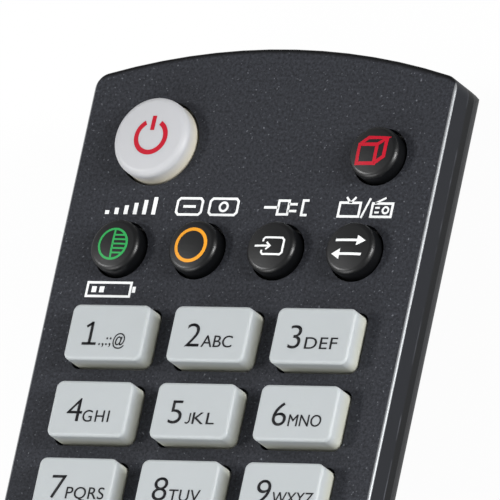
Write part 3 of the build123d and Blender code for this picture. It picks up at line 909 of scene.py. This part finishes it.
def face_print(name, draw, x, up):
    piece = start_print(name)
    draw(Pen(x, FIVE_Y + up, FACE_Z + 1.0))
    press(piece, "top_housing", "white")


face_print("bars_label", draw_bars, -15.0, LABEL_UP)
face_print("frames_label", draw_frames, -5.2, LABEL_UP)
face_print("plug_label", draw_plug, 5.0, LABEL_UP)
face_print("screen_label", draw_screen_and_receiver, 15.0, LABEL_UP)
face_print("gauge_label", draw_gauge, -15.2, GAUGE_UP)
print("housing prints:", count("_label"))

# %% [markdown]
# The table is white and fills the view. Seen by the camera it is mostly its own white, so the backdrop
# stays clean, and a share of it is lit, which keeps a faint shadow. It lies a hair below the belly and is
# clear from below, so the underside can be looked at.

# %% Table
TABLE_SIZE = 6.0          # metres
TABLE_DROP = 0.05         # of its top below the belly
OWN_WHITE = 0.95          # share of the table's white that doesn't depend on the lamps
bpy.ops.object.select_all(action="DESELECT")
bpy.ops.mesh.primitive_plane_add(size=TABLE_SIZE, location=(0, 0, -TABLE_DROP * MM))
table = bpy.context.object
table.name = "table"
white = bpy.data.materials.new("table_white")
white.use_nodes = True
tree = white.node_tree
tree.nodes["Principled BSDF"].inputs["Base Color"].default_value = (0.86, 0.86, 0.86, 1.0)
tree.nodes["Principled BSDF"].inputs["Roughness"].default_value = 0.8
rays = tree.nodes.new("ShaderNodeLightPath")
seen = Field(tree, rays.outputs["Is Camera Ray"]) + Field(tree, rays.outputs["Is Glossy Ray"])
seen = seen + Field(tree, rays.outputs["Is Transmission Ray"])
glow = Field(tree).node("ShaderNodeEmission", Color=(1.0, 1.0, 1.0, 1.0), Strength=1.0)
lit = Field(tree, tree.nodes["Principled BSDF"].outputs[0])
both = glow.node("ShaderNodeMixShader", i0=seen.math("MINIMUM", seen, 1.0) * OWN_WHITE, i1=lit, i2=glow)
from_below = glow.node("ShaderNodeNewGeometry", output="Backfacing")
nothing = glow.node("ShaderNodeBsdfTransparent")
one_sided = glow.node("ShaderNodeMixShader", i0=from_below, i1=both, i2=nothing)
tree.links.new(one_sided.socket, tree.nodes["Material Output"].inputs["Surface"])
table.data.materials.append(white)
print("table", TABLE_SIZE, "m wide")

# %% [markdown]
# The room is plain white to the camera. The light that it sends on the remote is weaker, and weaker still
# from the right and from behind, as in a room with its window on the left. Right and back are the two
# level parts of the direction that a ray comes from.

# %% World
FILL, FILL_RIGHT, FILL_BACK, FILL_LEAST = 0.33, 0.2, 0.15, 0.04
world = bpy.data.worlds.new("studio")
bpy.context.scene.world = world
world.use_nodes = True
tree = world.node_tree
rays = tree.nodes.new("ShaderNodeLightPath")
seen = Field(tree, rays.outputs["Is Camera Ray"]) + Field(tree, rays.outputs["Is Transmission Ray"])
way = seen.node("ShaderNodeTexCoord", output="Generated")
right, back = [way.node("ShaderNodeSeparateXYZ", output=axis, Vector=way) for axis in "XY"]
fill = FILL - FILL_RIGHT * right - FILL_BACK * back
fill = fill.math("MAXIMUM", fill, FILL_LEAST)
clear = seen.math("MINIMUM", seen, 1.0)
strength = fill + (1.0 - fill) * clear
tree.links.new(strength.socket, tree.nodes["Background"].inputs["Strength"])
tree.nodes["Background"].inputs["Color"].default_value = (1.0, 1.0, 1.0, 1.0)
print("the room lights the remote at", FILL)


# %% [markdown]
# Three soft boxes do the rest. The small one on the left throws the short shadows beside the keys. The
# low one on the right lights their right walls and draws the bright line along the edge of the face. A
# near one beyond the lower end lights the walls that face it.

# %% Lamps
def soft_box(name, direction, distance, width, height, level):
    """A rectangular lamp aimed at the middle of the face; level is what it adds to a white card."""
    aim = Vector((0.0, 0.5 * TIP_Y, FACE_Z)) * MM
    way = Vector(direction).normalized()
    lamp = bpy.data.lights.new(name, "AREA")
    lamp.shape, lamp.size, lamp.size_y = "RECTANGLE", width, height
    lamp.energy = level * math.pi ** 2 * distance ** 2
    turn = way.to_track_quat("Z", "Y").to_matrix().to_4x4()
    obj = bpy.data.objects.new(name, lamp)
    obj.matrix_world = Matrix.Translation(aim + way * distance) @ turn
    bpy.context.scene.collection.objects.link(obj)
    print(name, "is", distance, "m away")


soft_box("left_box", (-0.66, -0.1, 0.74), 1.2, 0.2, 0.2, 0.46)
soft_box("right_box", (0.90, 0.15, 0.37), 0.5, 0.1, 0.32, 1.2)
soft_box("front_box", (-0.35, -0.75, 0.56), 0.22, 0.14, 0.1, 0.44)
